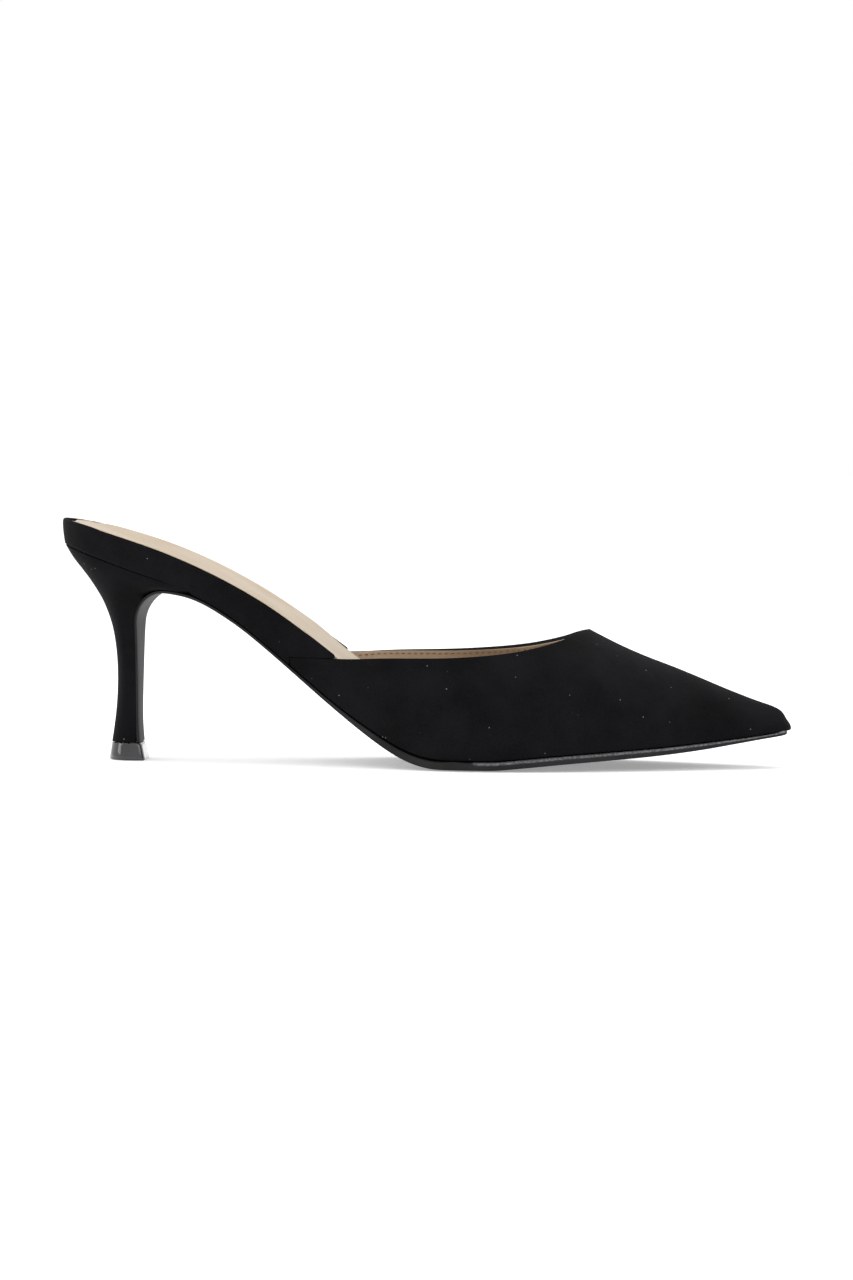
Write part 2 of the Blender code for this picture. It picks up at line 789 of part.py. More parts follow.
def make_heel_tip(material):
    """The top piece covers the heel and its flap, and spreads a little towards the floor."""
    half, flat, widest = heel_half(1.0), front_half(1.0), heel_form.at("widest", 1.0)
    rings = []
    for height, spread in HEEL_TIP_PROFILE:
        grow = spread * HEEL_TIP_SPREAD
        back = Vector((heel_form.at("back", 1.0) * LENGTH - grow, 0.0, height))
        front = Vector((breast_x(height) + HEEL_TIP_FRONT_SHARE * grow, 0.0, height))
        rings.append(section_points(back, front, half + grow, flat + grow, widest))
    return add_object("heel_tip", loft(rings), material)


def centre_over_origin(objects):
    """Moves the shoe so that the origin lies under the middle of its box."""
    bpy.context.view_layer.update()
    corners = [obj.matrix_world @ Vector(c) for obj in objects for c in obj.bound_box]
    low = [min(c[k] for c in corners) for k in range(3)]
    high = [max(c[k] for c in corners) for k in range(3)]
    shift = Vector((-0.5 * (low[0] + high[0]), -0.5 * (low[1] + high[1]), -low[2]))
    for obj in objects:
        obj.data.transform(Matrix.Translation(shift))


def main():
    for obj in list(bpy.data.objects):
        bpy.data.objects.remove(obj)
    suede = flat_material("black_suede", (0.012, 0.012, 0.013), 0.95)
    sole = flat_material("black_sole", (0.03, 0.03, 0.031), 0.5)
    tan = flat_material("tan_lining", (0.62, 0.47, 0.36), 0.7)
    gloss = flat_material("gloss_black", (0.02, 0.02, 0.022), 0.15)
    objects = [
        make_outsole(sole),
        make_upper(suede),
        make_footbed(tan),
        make_wrap(suede),
        make_heel(suede),
        make_heel_tip(gloss),
    ]
    centre_over_origin(objects)


main()
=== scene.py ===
# %% [markdown]
# A backless shoe in black suede, pointed at the toe, on a slim heel. The solids come from CAD and
# are right in size, but they are plain and faceted. This lesson mixes the finishes first. Then
# each solid gets a smooth copy in its place, the lining, the sock and the stitches are added, and
# the camera and the studio come last.

# %% Load the solids
import math

import bmesh
import bpy
from mathutils import Matrix, Vector


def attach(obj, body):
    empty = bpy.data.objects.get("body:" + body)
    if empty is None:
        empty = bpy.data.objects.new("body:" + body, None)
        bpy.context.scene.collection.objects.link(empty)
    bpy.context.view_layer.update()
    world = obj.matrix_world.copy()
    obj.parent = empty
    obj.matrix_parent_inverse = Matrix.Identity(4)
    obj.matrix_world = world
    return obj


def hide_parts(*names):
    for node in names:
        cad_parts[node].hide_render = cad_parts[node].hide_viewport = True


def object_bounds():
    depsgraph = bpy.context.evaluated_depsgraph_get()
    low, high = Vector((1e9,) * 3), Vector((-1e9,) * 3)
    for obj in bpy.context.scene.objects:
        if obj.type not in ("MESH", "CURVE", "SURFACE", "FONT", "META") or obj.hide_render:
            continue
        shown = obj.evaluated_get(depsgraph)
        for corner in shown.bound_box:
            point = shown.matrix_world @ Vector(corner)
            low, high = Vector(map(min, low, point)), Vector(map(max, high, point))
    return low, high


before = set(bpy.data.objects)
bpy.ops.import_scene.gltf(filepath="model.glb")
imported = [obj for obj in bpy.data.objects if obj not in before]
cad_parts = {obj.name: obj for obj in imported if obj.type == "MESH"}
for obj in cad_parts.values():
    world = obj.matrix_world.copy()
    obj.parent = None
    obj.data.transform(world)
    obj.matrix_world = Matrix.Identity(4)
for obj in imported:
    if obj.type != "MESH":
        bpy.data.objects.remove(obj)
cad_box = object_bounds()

BACK_X, TOE_X = cad_box[0][0], cad_box[1][0]
MIDDLE = 0.5 * (Vector(cad_box[0]) + Vector(cad_box[1]))
print("solids:", sorted(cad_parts))
print("length:", round(TOE_X - BACK_X, 4), "m")

# %% [markdown]
# Shader maths reads best as a formula. A small class wraps a socket, and each Python operator
# adds the Math node that it stands for. A second class holds one material and adds any other
# node through one method.


# %% Sockets that take part in formulas
class Value:
    """A shader value. Formulas with it add Math nodes to its finish."""

    def __init__(self, finish, socket):
        self.finish = finish
        self.socket = socket

    def math(self, operation, first, second):
        return self.finish.add(
            "ShaderNodeMath", {"operation": operation}, {0: first, 1: second}
        )

    def __add__(self, other):
        return self.math("ADD", self, other)

    __radd__ = __add__

    def __sub__(self, other):
        return self.math("SUBTRACT", self, other)

    def __rsub__(self, other):
        return self.math("SUBTRACT", other, self)

    def __mul__(self, other):
        return self.math("MULTIPLY", self, other)

    __rmul__ = __mul__

    def band(self, low, high):
        """0 below low, 1 above high and a soft step between them."""
        return self.finish.add(
            "ShaderNodeMapRange",
            {"interpolation_type": "SMOOTHSTEP"},
            {"Value": self, "From Min": low, "From Max": high},
        )


class Finish:
    """A material with its nodes, named for what a maker would call it."""

    def __init__(self, name, **constants):
        self.material = bpy.data.materials.new(name)
        self.material.use_nodes = True
        self.tree = self.material.node_tree
        self.shader = self.tree.nodes["Principled BSDF"]
        for socket, value in constants.items():
            self.shader.inputs[socket.replace("_", " ")].default_value = value
        self.place = self.add("ShaderNodeTexCoord", out="Object")

    def add(self, kind, settings=None, sockets=None, out=0):
        node = self.tree.nodes.new(kind)
        for name, value in (settings or {}).items():
            setattr(node, name, value)
        for name, value in (sockets or {}).items():
            self.plug(node.inputs[name], value)
        return Value(self, node.outputs[out])

    def plug(self, socket, value):
        if isinstance(value, Value):
            self.tree.links.new(value.socket, socket)
        else:
            socket.default_value = value

    def noise(self, scale, detail=3.0, roughness=0.5, place=None):
        sockets = {"Vector": place or self.place, "Scale": scale}
        sockets.update({"Detail": detail, "Roughness": roughness})
        return self.add("ShaderNodeTexNoise", None, sockets)

    def cells(self, scale):
        """The distance to the nearest of many scattered points."""
        return self.add("ShaderNodeTexVoronoi", None, {"Vector": self.place, "Scale": scale})

    def stretched(self, scale, turn=(0.0, 0.0, 0.0)):
        """Object coordinates stretched by a Mapping node, for marks that run one way."""
        sockets = {"Vector": self.place, "Scale": scale, "Rotation": turn}
        return self.add("ShaderNodeMapping", None, sockets)

    def attribute(self, name):
        return self.add("ShaderNodeAttribute", {"attribute_name": name}, None, "Fac")

    def blend(self, share, first, second):
        sockets = {0: share, 6: first, 7: second}
        return self.add("ShaderNodeMix", {"data_type": "RGBA"}, sockets, 2)

    def bump(self, height, distance, strength, under=None):
        sockets = {"Height": height, "Distance": distance, "Strength": strength}
        if under is not None:
            sockets["Normal"] = under
        return self.add("ShaderNodeBump", None, sockets)

    def dress(self, colour, roughness=None, normal=None, coat=None):
        links = {"Base Color": colour, "Roughness": roughness, "Normal": normal}
        links["Coat Weight"] = coat
        for name, value in links.items():
            if value is not None:
                self.plug(self.shader.inputs[name], value)
        return self.material


def shade(red, green, blue):
    """A colour picked from a screen, 0 to 255, as the linear light that shaders use."""

    def linear(level):
        part = level / 255
        return part / 12.92 if part < 0.04 else ((part + 0.055) / 1.055) ** 2.4

    return (linear(red), linear(green), linear(blue), 1.0)


print("a middle grey of 128 is", round(shade(128, 128, 128)[0], 3), "in linear light")

# %% [markdown]
# Suede is the flesh side of leather, brushed until its fibres stand up. From a step away it is
# a black with no highlight. Close up it has a fine nap, cloudy where a hand has stroked it, and
# it holds on to pale lint. Hair strands would be far too heavy for a nap this short, so a bump
# makes it, and a little sheen lights the fibre tips where the surface turns away.

# %% Black suede
CLOUDS, TUFTS, NAP = 55.0, 700.0, 2600.0
FLECKS, FLECK_CHOICE = 420.0, 260.0
NAP_HEIGHT = 0.00035
LINT_COVER = 0.75


def black_suede():
    suede = Finish(
        "black_suede",
        Sheen_Weight=0.03,
        Sheen_Roughness=0.5,
        Sheen_Tint=(0.75, 0.76, 0.80, 1.0),
        Specular_IOR_Level=0.06,
    )
    clouds = suede.noise(CLOUDS, 4.0, 0.6)
    nap = suede.noise(NAP, 4.0, 0.7)
    tufts = suede.noise(TUFTS, 3.0, 0.6)
    tone = suede.blend(
        (0.5 * clouds + 0.5 * nap).band(0.35, 0.65), shade(6, 6, 7), shade(18, 18, 20)
    )
    flecks = suede.cells(FLECKS)
    chosen = suede.noise(FLECK_CHOICE, 0.0).band(0.66, 0.70)
    lint = (1.0 - flecks.band(0.05, 0.11)) * chosen
    colour = suede.blend(lint * LINT_COVER, tone, shade(128, 125, 120))
    fuzz = suede.bump(0.6 * nap + 0.4 * tufts, NAP_HEIGHT, 0.55)
    return suede.dress(colour, 0.86 + 0.12 * nap, fuzz)


suede = black_suede()
print("suede:", len(suede.node_tree.nodes), "nodes")

# %% [markdown]
# The footbed and the lining are smooth tan leather. It has pores, a faint mottling and soft
# creases. The lining inside the vamp has a finer grain, and its darker tan is painted shade from
# inside the vamp. The lining inside the vamp has a finer grain and a dustier tan than the sock on
# top.
# One function makes all three, because they differ only in colour and grain. Below its top the
# footbed is black with glue, and a number stored on its vertices says where the top is.

# %% Tan leathers
MOTTLE = 38.0
CREASES = (150.0, 34.0, 60.0)
CREASE_HEIGHT, PORE_HEIGHT = 0.0007, 0.00012
BLACK_GLUE = shade(20, 19, 19)
SOCK_LIGHT, SOCK_DARK = shade(184, 170, 152), shade(174, 158, 137)
# The lining's colours are the sock's tan darkened by painted shade from inside the vamp.
SHADED_LINING_LIGHT, SHADED_LINING_DARK = shade(178, 156, 133), shade(154, 132, 110)
SOCK_GRAIN, LINING_GRAIN = 1500.0, 2300.0


def tan_leather(name, light, dark, grain, black_below=False):
    """With black_below, only what carries a sock_top of 1 is tan, and the rest is glue black."""
    leather = Finish(name, Specular_IOR_Level=0.35)
    mottle = leather.noise(MOTTLE, 5.0, 0.55)
    pores = leather.cells(grain)
    fine = leather.noise(grain * 1.7, 3.0, 0.6)
    creases = leather.noise(1.0, 4.0, 0.6, leather.stretched(CREASES))
    tone = leather.blend(mottle.band(0.30, 0.72), light, dark)
    colour = leather.blend(0.22 * (1.0 - pores.band(0.05, 0.28)), tone, dark)
    if black_below:
        on_top = leather.attribute("sock_top").band(0.90, 0.99)
        colour = leather.blend(on_top, BLACK_GLUE, colour)
    soft = leather.bump(creases, CREASE_HEIGHT, 0.35)
    normal = leather.bump(pores + 0.4 * fine, PORE_HEIGHT, 0.5, soft)
    return leather.dress(colour, 0.52 + 0.16 * fine, normal)


sock_leather = tan_leather("sock_leather", SOCK_LIGHT, SOCK_DARK, SOCK_GRAIN)
bed_leather = tan_leather("bed_leather", SOCK_LIGHT, SOCK_DARK, SOCK_GRAIN, black_below=True)
lining_leather_painted_shade = tan_leather("lining_leather_painted_shade", SHADED_LINING_LIGHT, SHADED_LINING_DARK, LINING_GRAIN)
print("tans:", sock_leather.name, bed_leather.name, lining_leather_painted_shade.name)

# %% [markdown]
# The sole is thin leather dyed black. Its underside is rubbed to a satin, with fine marks along
# the shoe, and its cut edge is inked. Along the top edge, from the ball to the toe, a grainy pale
# line is a painted highlight where the rounded edge turns up to the light. A picture could show
# that line, but a number on each vertex stays sharp from close by, and it tells the shader where
# the line is.

# %% Sole leather
SOLE_CLOUDS, SOLE_GRAIN = 60.0, 1400.0
SOLE_RUBS = (60.0, 900.0, 900.0)
SOLE_GRAIN_HEIGHT = 0.00010


def sole_leather():
    sole = Finish("black_sole_leather", Specular_IOR_Level=0.12)
    clouds = sole.noise(SOLE_CLOUDS, 4.0, 0.55)
    grain = sole.noise(SOLE_GRAIN, 3.0, 0.6)
    rubs = sole.noise(1.0, 3.0, 0.6, sole.stretched(SOLE_RUBS))
    tone = sole.blend(clouds.band(0.3, 0.7), shade(25, 25, 26), shade(37, 36, 37))
    # The grey line is a painted highlight on the top edge, grainy, where the edge faces up to the
    # light.
    line = sole.attribute("painted_edge_highlight").band(0.55, 0.95) * (0.35 + 0.65 * grain.band(0.4, 0.6))
    colour = sole.blend(line, tone, shade(112, 112, 116))
    normal = sole.bump(grain + 0.6 * rubs, SOLE_GRAIN_HEIGHT, 0.5)
    return sole.dress(colour, 0.42 + 0.16 * clouds + 0.10 * rubs, normal)


sole_finish = sole_leather()
print("sole:", len(sole_finish.node_tree.nodes), "nodes")

# %% [markdown]
# The top piece under the heel is hard glossy plastic. It has been moulded and then walked a few
# steps, so its gloss is broken by a few hair scratches and it waves very slightly. Perfect gloss
# would look like glass. The thread of the stitches is brown, with a twist too fine to model.

# %% Gloss plastic and thread
WAVES = 220.0
SCRATCHES, SCRATCH_TURN = (300.0, 300.0, 4200.0), (0.3, 0.1, 0.0)
WAVE_HEIGHT = 0.00015
TWIST = 3000.0
TWIST_HEIGHT = 0.0001


def gloss_plastic():
    gloss = Finish("gloss_top_piece", Coat_Roughness=0.06, Specular_IOR_Level=0.5)
    waves = gloss.noise(WAVES, 2.0, 0.5)
    scratches = gloss.noise(1.0, 2.0, 0.5, gloss.stretched(SCRATCHES, SCRATCH_TURN))
    marks = scratches.band(0.60, 0.70)
    colour = gloss.blend(waves.band(0.3, 0.7), shade(22, 23, 25), shade(32, 33, 36))
    normal = gloss.bump(waves, WAVE_HEIGHT, 0.4)
    return gloss.dress(colour, 0.13 + 0.16 * marks, normal, 0.6 - 0.3 * marks)


def brown_thread():
    thread = Finish("brown_thread", Specular_IOR_Level=0.3)
    twist = thread.noise(TWIST, 2.0, 0.6)
    colour = thread.blend(twist.band(0.3, 0.7), shade(88, 66, 48), shade(128, 101, 76))
    return thread.dress(colour, 0.55 + 0.2 * twist, thread.bump(twist, TWIST_HEIGHT, 0.5))


top_piece_finish = gloss_plastic()
thread_finish = brown_thread()
print("finishes:", [m.name for m in bpy.data.materials if m.use_nodes])

# %% [markdown]
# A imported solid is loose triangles. A copy is merged at its doubles, its triangles are joined
# back to quads, and Subdivision Surface rounds it. A bevel would round the edges alone and leave
# the facets. The true edges are creased first, or the rounding would melt them.

# %% Smooth copies
MERGE = 0.00001
JOIN_FLATNESS, JOIN_SQUARENESS = math.radians(40), math.radians(60)
CREASE_ANGLE = 62.0
ROUNDS = 2


def merged_copy(node):
    bm = bmesh.new()
    bm.from_mesh(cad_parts[node].data)
    bmesh.ops.remove_doubles(bm, verts=bm.verts, dist=MERGE)
    bmesh.ops.join_triangles(
        bm,
        faces=bm.faces,
        angle_face_threshold=JOIN_FLATNESS,
        angle_shape_threshold=JOIN_SQUARENESS,
    )
    bm.normal_update()
    return bm


def crease_edges(bm, angle=CREASE_ANGLE, share=1.0):
    """Creases the edges that turn by more than the angle, in degrees."""
    crease = bm.edges.layers.float.get("crease_edge") or bm.edges.layers.float.new("crease_edge")
    for edge in bm.edges:
        if len(edge.link_faces) == 2 and edge.calc_face_angle() > math.radians(angle):
            edge[crease] = share


def finished_piece(name, bm, material, rounds=ROUNDS, nodes=()):
    mesh = bpy.data.meshes.new(name)
    bm.to_mesh(mesh)
    bm.free()
    mesh.materials.append(material)
    mesh.shade_smooth()
    piece = bpy.data.objects.new(name, mesh)
    bpy.context.scene.collection.objects.link(piece)
    if rounds:
        smooth = piece.modifiers.new("smooth", "SUBSURF")
        smooth.levels = rounds
        smooth.render_levels = rounds
    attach(piece, "root")
    if nodes:
        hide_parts(*nodes)
    print(f"{name}: {len(mesh.polygons)} faces before rounding")


for name, solid in sorted(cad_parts.items()):
    print(name, "has", len(solid.data.polygons), "triangles")

# %% [markdown]
# The vamp is cut in one piece, closed over the toes and open behind. Its top edge is folded in,
# so the suede turns over the edge and shows as a black hem inside. It could be lofted anew, but
# the solid already has the shape of the last, so its copy is only rounded. Rounding makes the
# thin nose thinner still, so the skin of the nose is pushed out first.

# %% Vamp
NOSE_X = TOE_X - 0.012
NOSE_LENGTH = 0.009
NOSE_FRONT, NOSE_UNDER = 0.1, -0.4
VAMP_NOSE_OUT = 0.0015


def level_normal(vert):
    """The vertex normal seen from the side, so that a push along it keeps the width."""
    return Vector((vert.normal.x, 0.0, vert.normal.z))


def round_nose(bm, out):
    """Pushes the outer skin of the nose outwards, fully at its tip and fading backwards."""
    for vert in bm.verts:
        share = min(1.0, (vert.co.x - NOSE_X) / NOSE_LENGTH)
        if share > 0.0 and vert.normal.x > NOSE_FRONT and vert.normal.z > NOSE_UNDER:
            vert.co += level_normal(vert) * out * share


vamp_bm = merged_copy("upper")
round_nose(vamp_bm, VAMP_NOSE_OUT)
finished_piece("suede_vamp", vamp_bm, suede, nodes=("upper",))

# %% [markdown]
# A band of the same suede goes round the side of the footbed, from one corner of the vamp round
# the heel to the other. The heel is a moulded block in a suede cover, with a flap of the sole
# glued down its front. The solids stand a hair's breadth apart there, and light would shine
# through. Glue closes that gap on the real shoe, so the lip, the front and the roof of the heel's
# copy are pressed into the flap. A filler would be one more piece that no shoe has.

# %% Wrap and heel
LIP_X = BACK_X + 0.0455
LIP_REACH = 0.0008
FLAP_LOW, FLAP_HIGH = 0.009, 0.064
ROOF_X, ROOF_Z = BACK_X + 0.026, 0.050
FLAP_PRESS = 0.0010
TURNED = 0.3


def meets_flap(vert):
    """True on the front of the heel and under the curve where it runs into the seat."""
    front = vert.normal.x > TURNED and FLAP_LOW < vert.co.z < FLAP_HIGH
    roof = vert.normal.z < -TURNED and vert.co.x > ROOF_X and vert.co.z > ROOF_Z
    return front or roof


wrap_bm = merged_copy("footbed_wrap")
crease_edges(wrap_bm)
finished_piece("suede_wrap", wrap_bm, suede, nodes=("footbed_wrap",))

heel_bm = merged_copy("heel")
crease_edges(heel_bm)
lip = [vert for vert in heel_bm.verts if vert.co.x > LIP_X]
bmesh.ops.translate(heel_bm, verts=lip, vec=(LIP_REACH, 0.0, 0.0))
glued = [vert for vert in heel_bm.verts if meets_flap(vert)]
for vert in glued:
    vert.co += level_normal(vert) * FLAP_PRESS
print("heel:", len(lip), "points pushed home at the lip,", len(glued), "pressed to the flap")
finished_piece("suede_heel", heel_bm, suede, nodes=("heel",))

# %% [markdown]
# The lining is a sheet of leather glued inside the vamp. A new sheet would never fit so closely,
# so it is the vamp's own inner skin: the faces that look into the hollow are kept, lifted by
# their normals and given a thickness. Its top edge is slid down, a little at the corners and
# more at the throat, so the hem shows. Its foot must not show in the seam with the sole. There
# the lowest faces are taken off where the footbed hides them, and the rest is slid up.

# %% Lining: which faces and which edge
INWARD_LOOKING = 0.45
HOLLOW_Z = 0.018
RIM_LEAST_Z = 0.030
RIM_DOWN = -0.15
ARCH_X = TOE_X - 0.135
TAIL_X = TOE_X - 0.163


def looks_inside(face):
    """True for a face whose normal points into the hollow of the foot."""
    centre = face.calc_center_median()
    towards = Vector((centre.x, 0.0, min(centre.z, HOLLOW_Z))) - centre
    return face.normal.dot(towards.normalized()) > INWARD_LOOKING


def inward_neighbours(vert):
    return [edge.other_vert(vert) for edge in vert.link_edges if not edge.is_boundary]


def top_edge_points(bm):
    """Vertices along the open top edge, with the way down the sheet at each."""
    found = []
    for vert in bm.verts:
        inward = inward_neighbours(vert)
        if vert.is_boundary and inward:
            way = min(inward, key=lambda v: v.co.z).co - vert.co
            if way.normalized().z < RIM_DOWN and vert.co.z > RIM_LEAST_Z:
                found.append((vert, way))
    return found


def drop_hidden_foot(bm):
    """Takes off the tail and, under the arch, the lowest ring of faces."""
    top = {vert for vert, _ in top_edge_points(bm)}
    foot = {v for v in bm.verts if v.is_boundary and v not in top and v.co.x < ARCH_X}

    def hidden(face):
        corners = set(face.verts)
        return face.calc_center_median().x < TAIL_X or (foot & corners and not top & corners)

    bmesh.ops.delete(bm, geom=[face for face in bm.faces if hidden(face)], context="FACES")
    bm.normal_update()


lining_bm = merged_copy("upper")
outside = [face for face in lining_bm.faces if not looks_inside(face)]
bmesh.ops.delete(lining_bm, geom=outside, context="FACES")
lining_bm.normal_update()
drop_hidden_foot(lining_bm)
print("lining:", len(lining_bm.faces), "faces kept,", len(outside), "faces look outside")

# %% [markdown]
# Now the kept faces become the sheet. The points of its top edge are written down while they are
# moved, because the stitches follow that edge later.

# %% Lining: the sheet
LINING_LIFT = 0.00042
LINING_SHEET = 0.00036
LINING_FOOT = 0.0030
FOOT_LIMIT, HEM_LIMIT = 0.95, 0.8
HEM_CORNER, HEM_THROAT = 0.0001, 0.0012
HEM_START_X, THROAT_X = ARCH_X, TOE_X - 0.069
HEM_BEND = 1.5
SHEET_CREASE = 0.5
SHEET_ROUNDS = 1


def hem_at(x):
    """How much of the hem shows at x."""
    share = min(1.0, max(0.0, (x - HEM_START_X) / (THROAT_X - HEM_START_X)))
    return HEM_CORNER + (HEM_THROAT - HEM_CORNER) * share**HEM_BEND


def raise_foot(bm, top):
    """Slides the lower edge up, so that it ends above the seam with the sole."""
    for vert in [v for v in bm.verts if v.is_boundary and v not in top]:
        around = inward_neighbours(vert) or [e.other_vert(vert) for e in vert.link_edges]
        way = max(around, key=lambda v: v.co.z).co - vert.co
        vert.co += way * min(FOOT_LIMIT, LINING_FOOT / max(way.length, MERGE))


def make_lining(bm):
    """Makes the sheet and gives its top edge: points, ways down and normals."""
    edge = top_edge_points(bm)
    raise_foot(bm, {vert for vert, _ in edge})
    line = []
    for vert, way in edge:
        vert.co += way.normalized() * min(hem_at(vert.co.x), HEM_LIMIT * way.length)
        line.append((vert.co.copy(), way.normalized(), vert.normal.copy()))
    for vert in bm.verts:
        vert.co += vert.normal * LINING_LIFT
    bmesh.ops.solidify(bm, geom=bm.faces[:], thickness=LINING_SHEET)
    bmesh.ops.recalc_face_normals(bm, faces=bm.faces)
    crease_edges(bm, share=SHEET_CREASE)
    finished_piece("vamp_lining", bm, lining_leather_painted_shade, SHEET_ROUNDS)
    return line


lining_line = make_lining(lining_bm)
print("lining: top edge has", len(lining_line), "points")

# %% [markdown]
# The footbed is a board with padding under a tan cover. Its top stays tan and its sides, which
# the vamp and the wrap hide, turn black with glue. The faces that look up are the top.

# %% Footbed
UP_LOOKING = 0.62


def top_faces(bm):
    return [face for face in bm.faces if face.normal.z >= UP_LOOKING]


footbed_bm = merged_copy("footbed")
crease_edges(footbed_bm)
sock_top = footbed_bm.verts.layers.float.new("sock_top")
for face in top_faces(footbed_bm):
    for vert in face.verts:
        vert[sock_top] = 1.0
print("footbed:", len(top_faces(footbed_bm)), "faces look up")
finished_piece("tan_footbed", footbed_bm, bed_leather, nodes=("footbed",))

# %% [markdown]
# The footbed carries a sock, a thin sheet of tan leather. Behind the vamp it laps over the black
# wrap and ends close to its outer edge, so from the side the open back shows tan over black.
# At the very back it stops short, and a few millimetres of black go round the heel. A cloth
# simulation would wrinkle a sheet that is glued down flat. So the sheet is the footbed's own top
# skin, and its border is extruded twice, outwards over the rim.

# %% Sock
SOCK_SHEET = 0.0005
SOCK_LIFT = 0.0007
BORDER_RISE = 0.00078
LAP_STEPS = ((0.0010, 0.0012), (0.0023, 0.00135))
LAP_END_X, LAP_BACK_X = TOE_X - 0.1535, BACK_X + 0.0055
LAP_FADE = 0.009
LAP_LEAST = 0.04
SOCK_CREASE_ANGLE = 70.0


def lap_share(x):
    """1 where the sock laps over the rim, nearly 0 inside the vamp and at the very back."""
    front = min(1.0, max(0.0, (LAP_END_X - x) / LAP_FADE))
    back = min(1.0, max(0.0, (x - LAP_BACK_X) / LAP_FADE))
    return LAP_LEAST + (1.0 - LAP_LEAST) * front * back


def border_ways(bm):
    """The way outwards in plan at each border vertex."""
    ways = {}
    for edge in bm.edges:
        if not edge.is_boundary:
            continue
        along = edge.verts[1].co - edge.verts[0].co
        way = Vector((along.y, -along.x, 0.0)).normalized()
        middle = 0.5 * (edge.verts[0].co + edge.verts[1].co)
        if way.dot(middle - edge.link_faces[0].calc_center_median()) < 0.0:
            way.negate()
        for vert in edge.verts:
            ways[vert] = ways.get(vert, Vector()) + way
    return {vert: way.normalized() for vert, way in ways.items()}


def extrude_border(bm):
    """Extrudes the border and gives its new vertices, which still lie on the old ones."""
    border = [edge for edge in bm.edges if edge.is_boundary]
    grown = bmesh.ops.extrude_edge_only(bm, edges=border)["geom"]
    return [item for item in grown if isinstance(item, bmesh.types.BMVert)]


def nearest(vert, known):
    return min(known, key=lambda other: (other.co - vert.co).length_squared)


def make_sock():
    bm = merged_copy("footbed")
    kept = set(top_faces(bm))
    bmesh.ops.delete(bm, geom=[f for f in bm.faces if f not in kept], context="FACES")
    plan = {}
    for vert, way in border_ways(bm).items():
        plan[vert] = (vert.co.copy(), way, lap_share(vert.co.x))
    for vert, (place, way, share) in plan.items():
        vert.co.z = place.z + BORDER_RISE * share
    for out, rise in LAP_STEPS:
        plan = {vert: plan[nearest(vert, plan)] for vert in extrude_border(bm)}
        for vert, (place, way, share) in plan.items():
            vert.co = place + way * out * share + Vector((0.0, 0.0, rise * share))
    for vert in bm.verts:
        vert.co.z += SOCK_LIFT
    bmesh.ops.recalc_face_normals(bm, faces=bm.faces)
    bmesh.ops.solidify(bm, geom=bm.faces[:], thickness=SOCK_SHEET)
    bmesh.ops.recalc_face_normals(bm, faces=bm.faces)
    crease_edges(bm, SOCK_CREASE_ANGLE, SHEET_CREASE)
    finished_piece("tan_sock", bm, sock_leather, SHEET_ROUNDS)


make_sock()

# %% [markdown]
# The sole's painted highlight needs to know where the top edge is. The rounding of that edge is
# a narrow strip of faces that look up and outwards into the light, so their vertices carry a 1
# and the rest a 0. The sole's tip is pushed out under the nose of the vamp. The top piece under
# the heel is a small block, and its edges are creased only in part, as moulded plastic is never
# quite sharp.

# %% Sole and top piece
SOLE_NOSE_OUT = 0.0010
HIGHLIGHT_START_X = TOE_X - 0.105
HIGHLIGHT_OUT_LEAST, HIGHLIGHT_OUT_MOST, HIGHLIGHT_UP_LEAST = 0.35, 0.93, 0.25
TIP_CREASE_ANGLE, TIP_CREASE = 50.0, 0.7


# Marks the faces of the top edge that get the painted highlight.
def mark_painted_edge_highlight(bm):
    layer = bm.verts.layers.float.new("painted_edge_highlight")
    marked = 0
    for face in bm.faces:
        outwards = HIGHLIGHT_OUT_LEAST < abs(face.normal.y) < HIGHLIGHT_OUT_MOST
        upwards = face.normal.z > HIGHLIGHT_UP_LEAST
        if outwards and upwards and face.calc_center_median().x > HIGHLIGHT_START_X:
            for vert in face.verts:
                vert[layer] = 1.0
            marked += 1
    return marked


sole_bm = merged_copy("outsole")
crease_edges(sole_bm)
round_nose(sole_bm, SOLE_NOSE_OUT)
# The count is of the faces that get the painted highlight.
print("pale line:", mark_painted_edge_highlight(sole_bm), "faces")
finished_piece("leather_sole", sole_bm, sole_finish, nodes=("outsole",))

tip_bm = merged_copy("heel_tip")
crease_edges(tip_bm, TIP_CREASE_ANGLE, TIP_CREASE)
finished_piece("heel_top_piece", tip_bm, top_piece_finish, nodes=("heel_tip",))

# %% [markdown]
# One row of stitches holds the lining to the hem. A curve with a dashed picture would look flat
# from close by. Each stitch is a small stretched ball instead, set along the lining's edge at an
# even pitch, and all of them are one mesh.

# %% Stitches
STITCH_PITCH = 0.00215
STITCH_LENGTH = 0.00068
STITCH_RADIUS = 0.00017
STITCH_DROP = 0.0010
STITCH_LIFT = LINING_LIFT + 0.00004


def ordered_from_corner(line, side):
    half = [item for item in line if item[0].y * side > 0.0]
    return sorted(half, key=lambda item: item[0].x)


def stitch_places(half):
    """Even steps along one side of the lining's edge, with its direction and its normal."""
    places = []
    left = STITCH_PITCH
    for (start, down_a, face_a), (end, down_b, face_b) in zip(half, half[1:]):
        step = end - start
        walked = 0.0
        while walked + left <= step.length:
            walked += left
            left = STITCH_PITCH
            share = walked / step.length
            down = down_a.lerp(down_b, share).normalized()
            out = face_a.lerp(face_b, share).normalized()
            spot = start + step * share + down * STITCH_DROP + out * STITCH_LIFT
            places.append((spot, step.normalized(), out))
        left -= step.length - walked
    return places


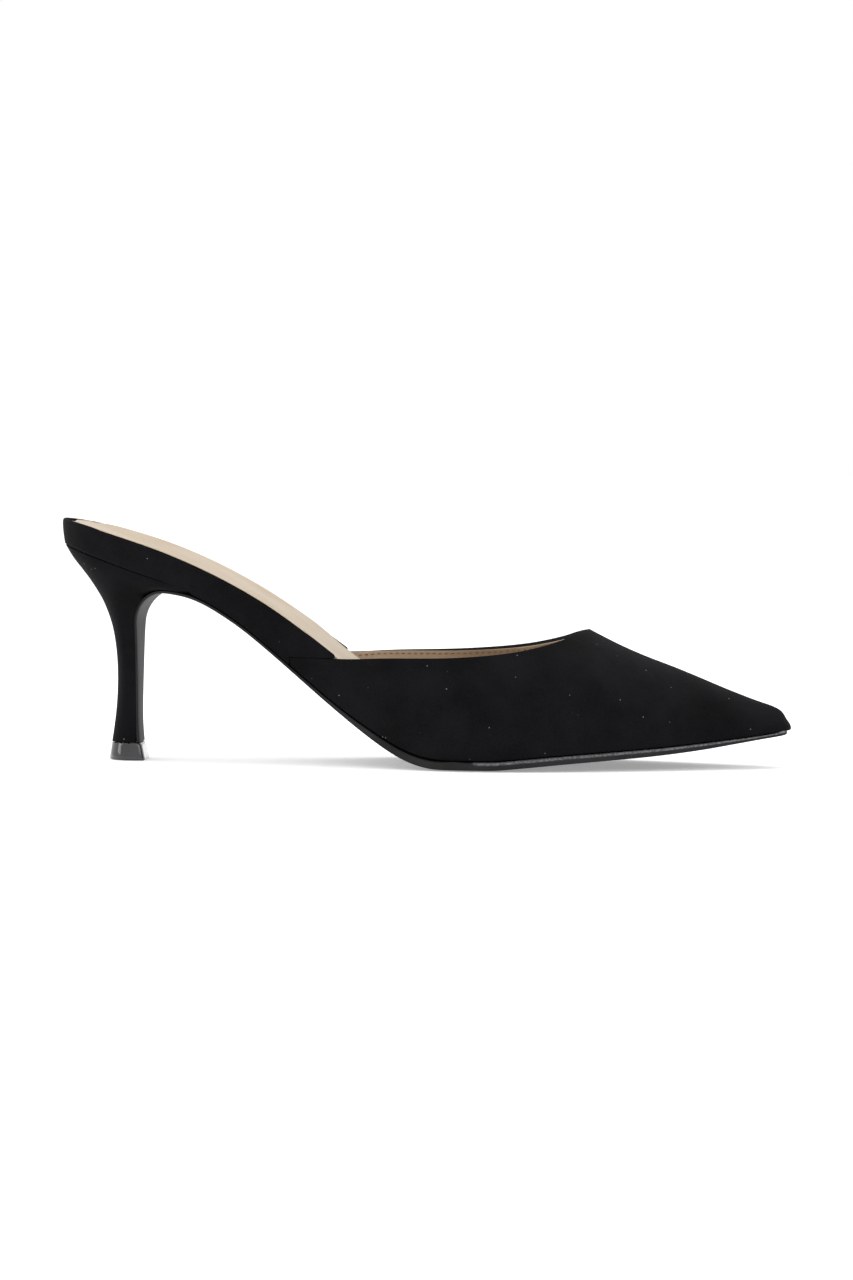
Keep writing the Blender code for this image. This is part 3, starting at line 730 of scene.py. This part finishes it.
def make_stitches():
    bm = bmesh.new()
    count = 0
    for side in (-1, 1):
        for spot, along, out in stitch_places(ordered_from_corner(lining_line, side)):
            across = out.cross(along).normalized()
            turn = Matrix((along, across, along.cross(across))).transposed().to_4x4()
            size = Matrix.Diagonal((STITCH_LENGTH, STITCH_RADIUS, STITCH_RADIUS, 1.0))
            place = Matrix.Translation(spot) @ turn @ size
            bmesh.ops.create_uvsphere(bm, u_segments=8, v_segments=6, radius=1.0, matrix=place)
            count += 1
    print("stitches:", count)
    finished_piece("lining_stitches", bm, thread_finish, rounds=0)


make_stitches()

# %% [markdown]
# The photograph looks at the outer side from just above the floor, a touch from the toe side.
# The camera stands far off with a long lens, so near and far edges run almost parallel, and it
# is rolled by half a degree. Its own axes are worked out, because a camera that tracks a target
# can't be rolled.

# %% Camera
ELEVATION, SWING, ROLL = (math.radians(angle) for angle in (3.0, 4.2, 0.5))
DISTANCE = 1.590
LENS, SENSOR = 130.5, 36.0
FARTHEST = 30.0
TARGET = MIDDLE + Vector((0.0008, 0.0, 0.0008))


def make_camera():
    back = Vector(
        (
            math.sin(SWING) * math.cos(ELEVATION),
            -math.cos(SWING) * math.cos(ELEVATION),
            math.sin(ELEVATION),
        )
    )
    right = Vector((math.cos(SWING), math.sin(SWING), 0.0))
    up = back.cross(right)
    level = Matrix((right, up, back)).transposed()
    turned = level @ Matrix.Rotation(ROLL, 3, "Z")
    camera = bpy.data.objects.new("camera", bpy.data.cameras.new("camera"))
    bpy.context.scene.collection.objects.link(camera)
    camera.matrix_world = Matrix.Translation(TARGET + back * DISTANCE) @ turned.to_4x4()
    camera.data.lens = LENS
    camera.data.sensor_width = SENSOR
    camera.data.clip_end = FARTHEST
    bpy.context.scene.camera = camera
    return camera


camera = make_camera()
print("camera at", [round(v, 3) for v in camera.matrix_world.translation])

# %% [markdown]
# A product photograph is lit so that the floor burns out to white and only soft contact shadows
# stay. A wide pale floor, a white world and large lamps above, in front and at the left do that.
# A backdrop painted white would lose the shadows, so the floor is real paper with a faint glow.

# %% Studio
WHITE = (1.0, 1.0, 1.0, 1.0)
PAPER_DARK, PAPER_LIGHT = (0.86, 0.86, 0.86, 1.0), (0.88, 0.88, 0.88, 1.0)
PAPER_GLOW = 0.30
PAPER_FIBRE = 40.0
FLOOR_HALF = 6.0
AIM = Vector((0.0, 0.0, 0.03))


def make_floor():
    bm = bmesh.new()
    bmesh.ops.create_grid(bm, x_segments=1, y_segments=1, size=FLOOR_HALF)
    mesh = bpy.data.meshes.new("floor")
    bm.to_mesh(mesh)
    bm.free()
    floor = bpy.data.objects.new("floor", mesh)
    bpy.context.scene.collection.objects.link(floor)
    paper = Finish("white_paper", Roughness=0.9, Specular_IOR_Level=0.1)
    paper.shader.inputs["Emission Color"].default_value = WHITE
    paper.shader.inputs["Emission Strength"].default_value = PAPER_GLOW
    fibre = paper.noise(PAPER_FIBRE, 2.0, 0.5)
    mesh.materials.append(paper.dress(paper.blend(fibre, PAPER_DARK, PAPER_LIGHT)))


def make_lamp(name, place, size, power):
    data = bpy.data.lights.new(name, "AREA")
    data.shape = "RECTANGLE"
    data.size, data.size_y = size
    data.energy = power
    lamp = bpy.data.objects.new(name, data)
    lamp.location = place
    lamp.rotation_euler = (AIM - Vector(place)).to_track_quat("-Z", "Y").to_euler()
    bpy.context.scene.collection.objects.link(lamp)


def make_world(strength):
    world = bpy.data.worlds.new("white_room")
    world.use_nodes = True
    background = world.node_tree.nodes["Background"]
    background.inputs["Color"].default_value = WHITE
    background.inputs["Strength"].default_value = strength
    bpy.context.scene.world = world


make_floor()
make_lamp("over", place=(0.0, 0.1, 1.3), size=(1.4, 1.0), power=8.0)
make_lamp("front", place=(0.5, -1.4, 0.9), size=(1.0, 0.8), power=4.0)
make_lamp("left", place=(-1.3, -0.5, 0.6), size=(0.5, 0.9), power=4.0)
make_world(strength=1.0)
bpy.context.scene.view_settings.view_transform = "Standard"
print("lamps:", [light.name for light in bpy.data.lights])
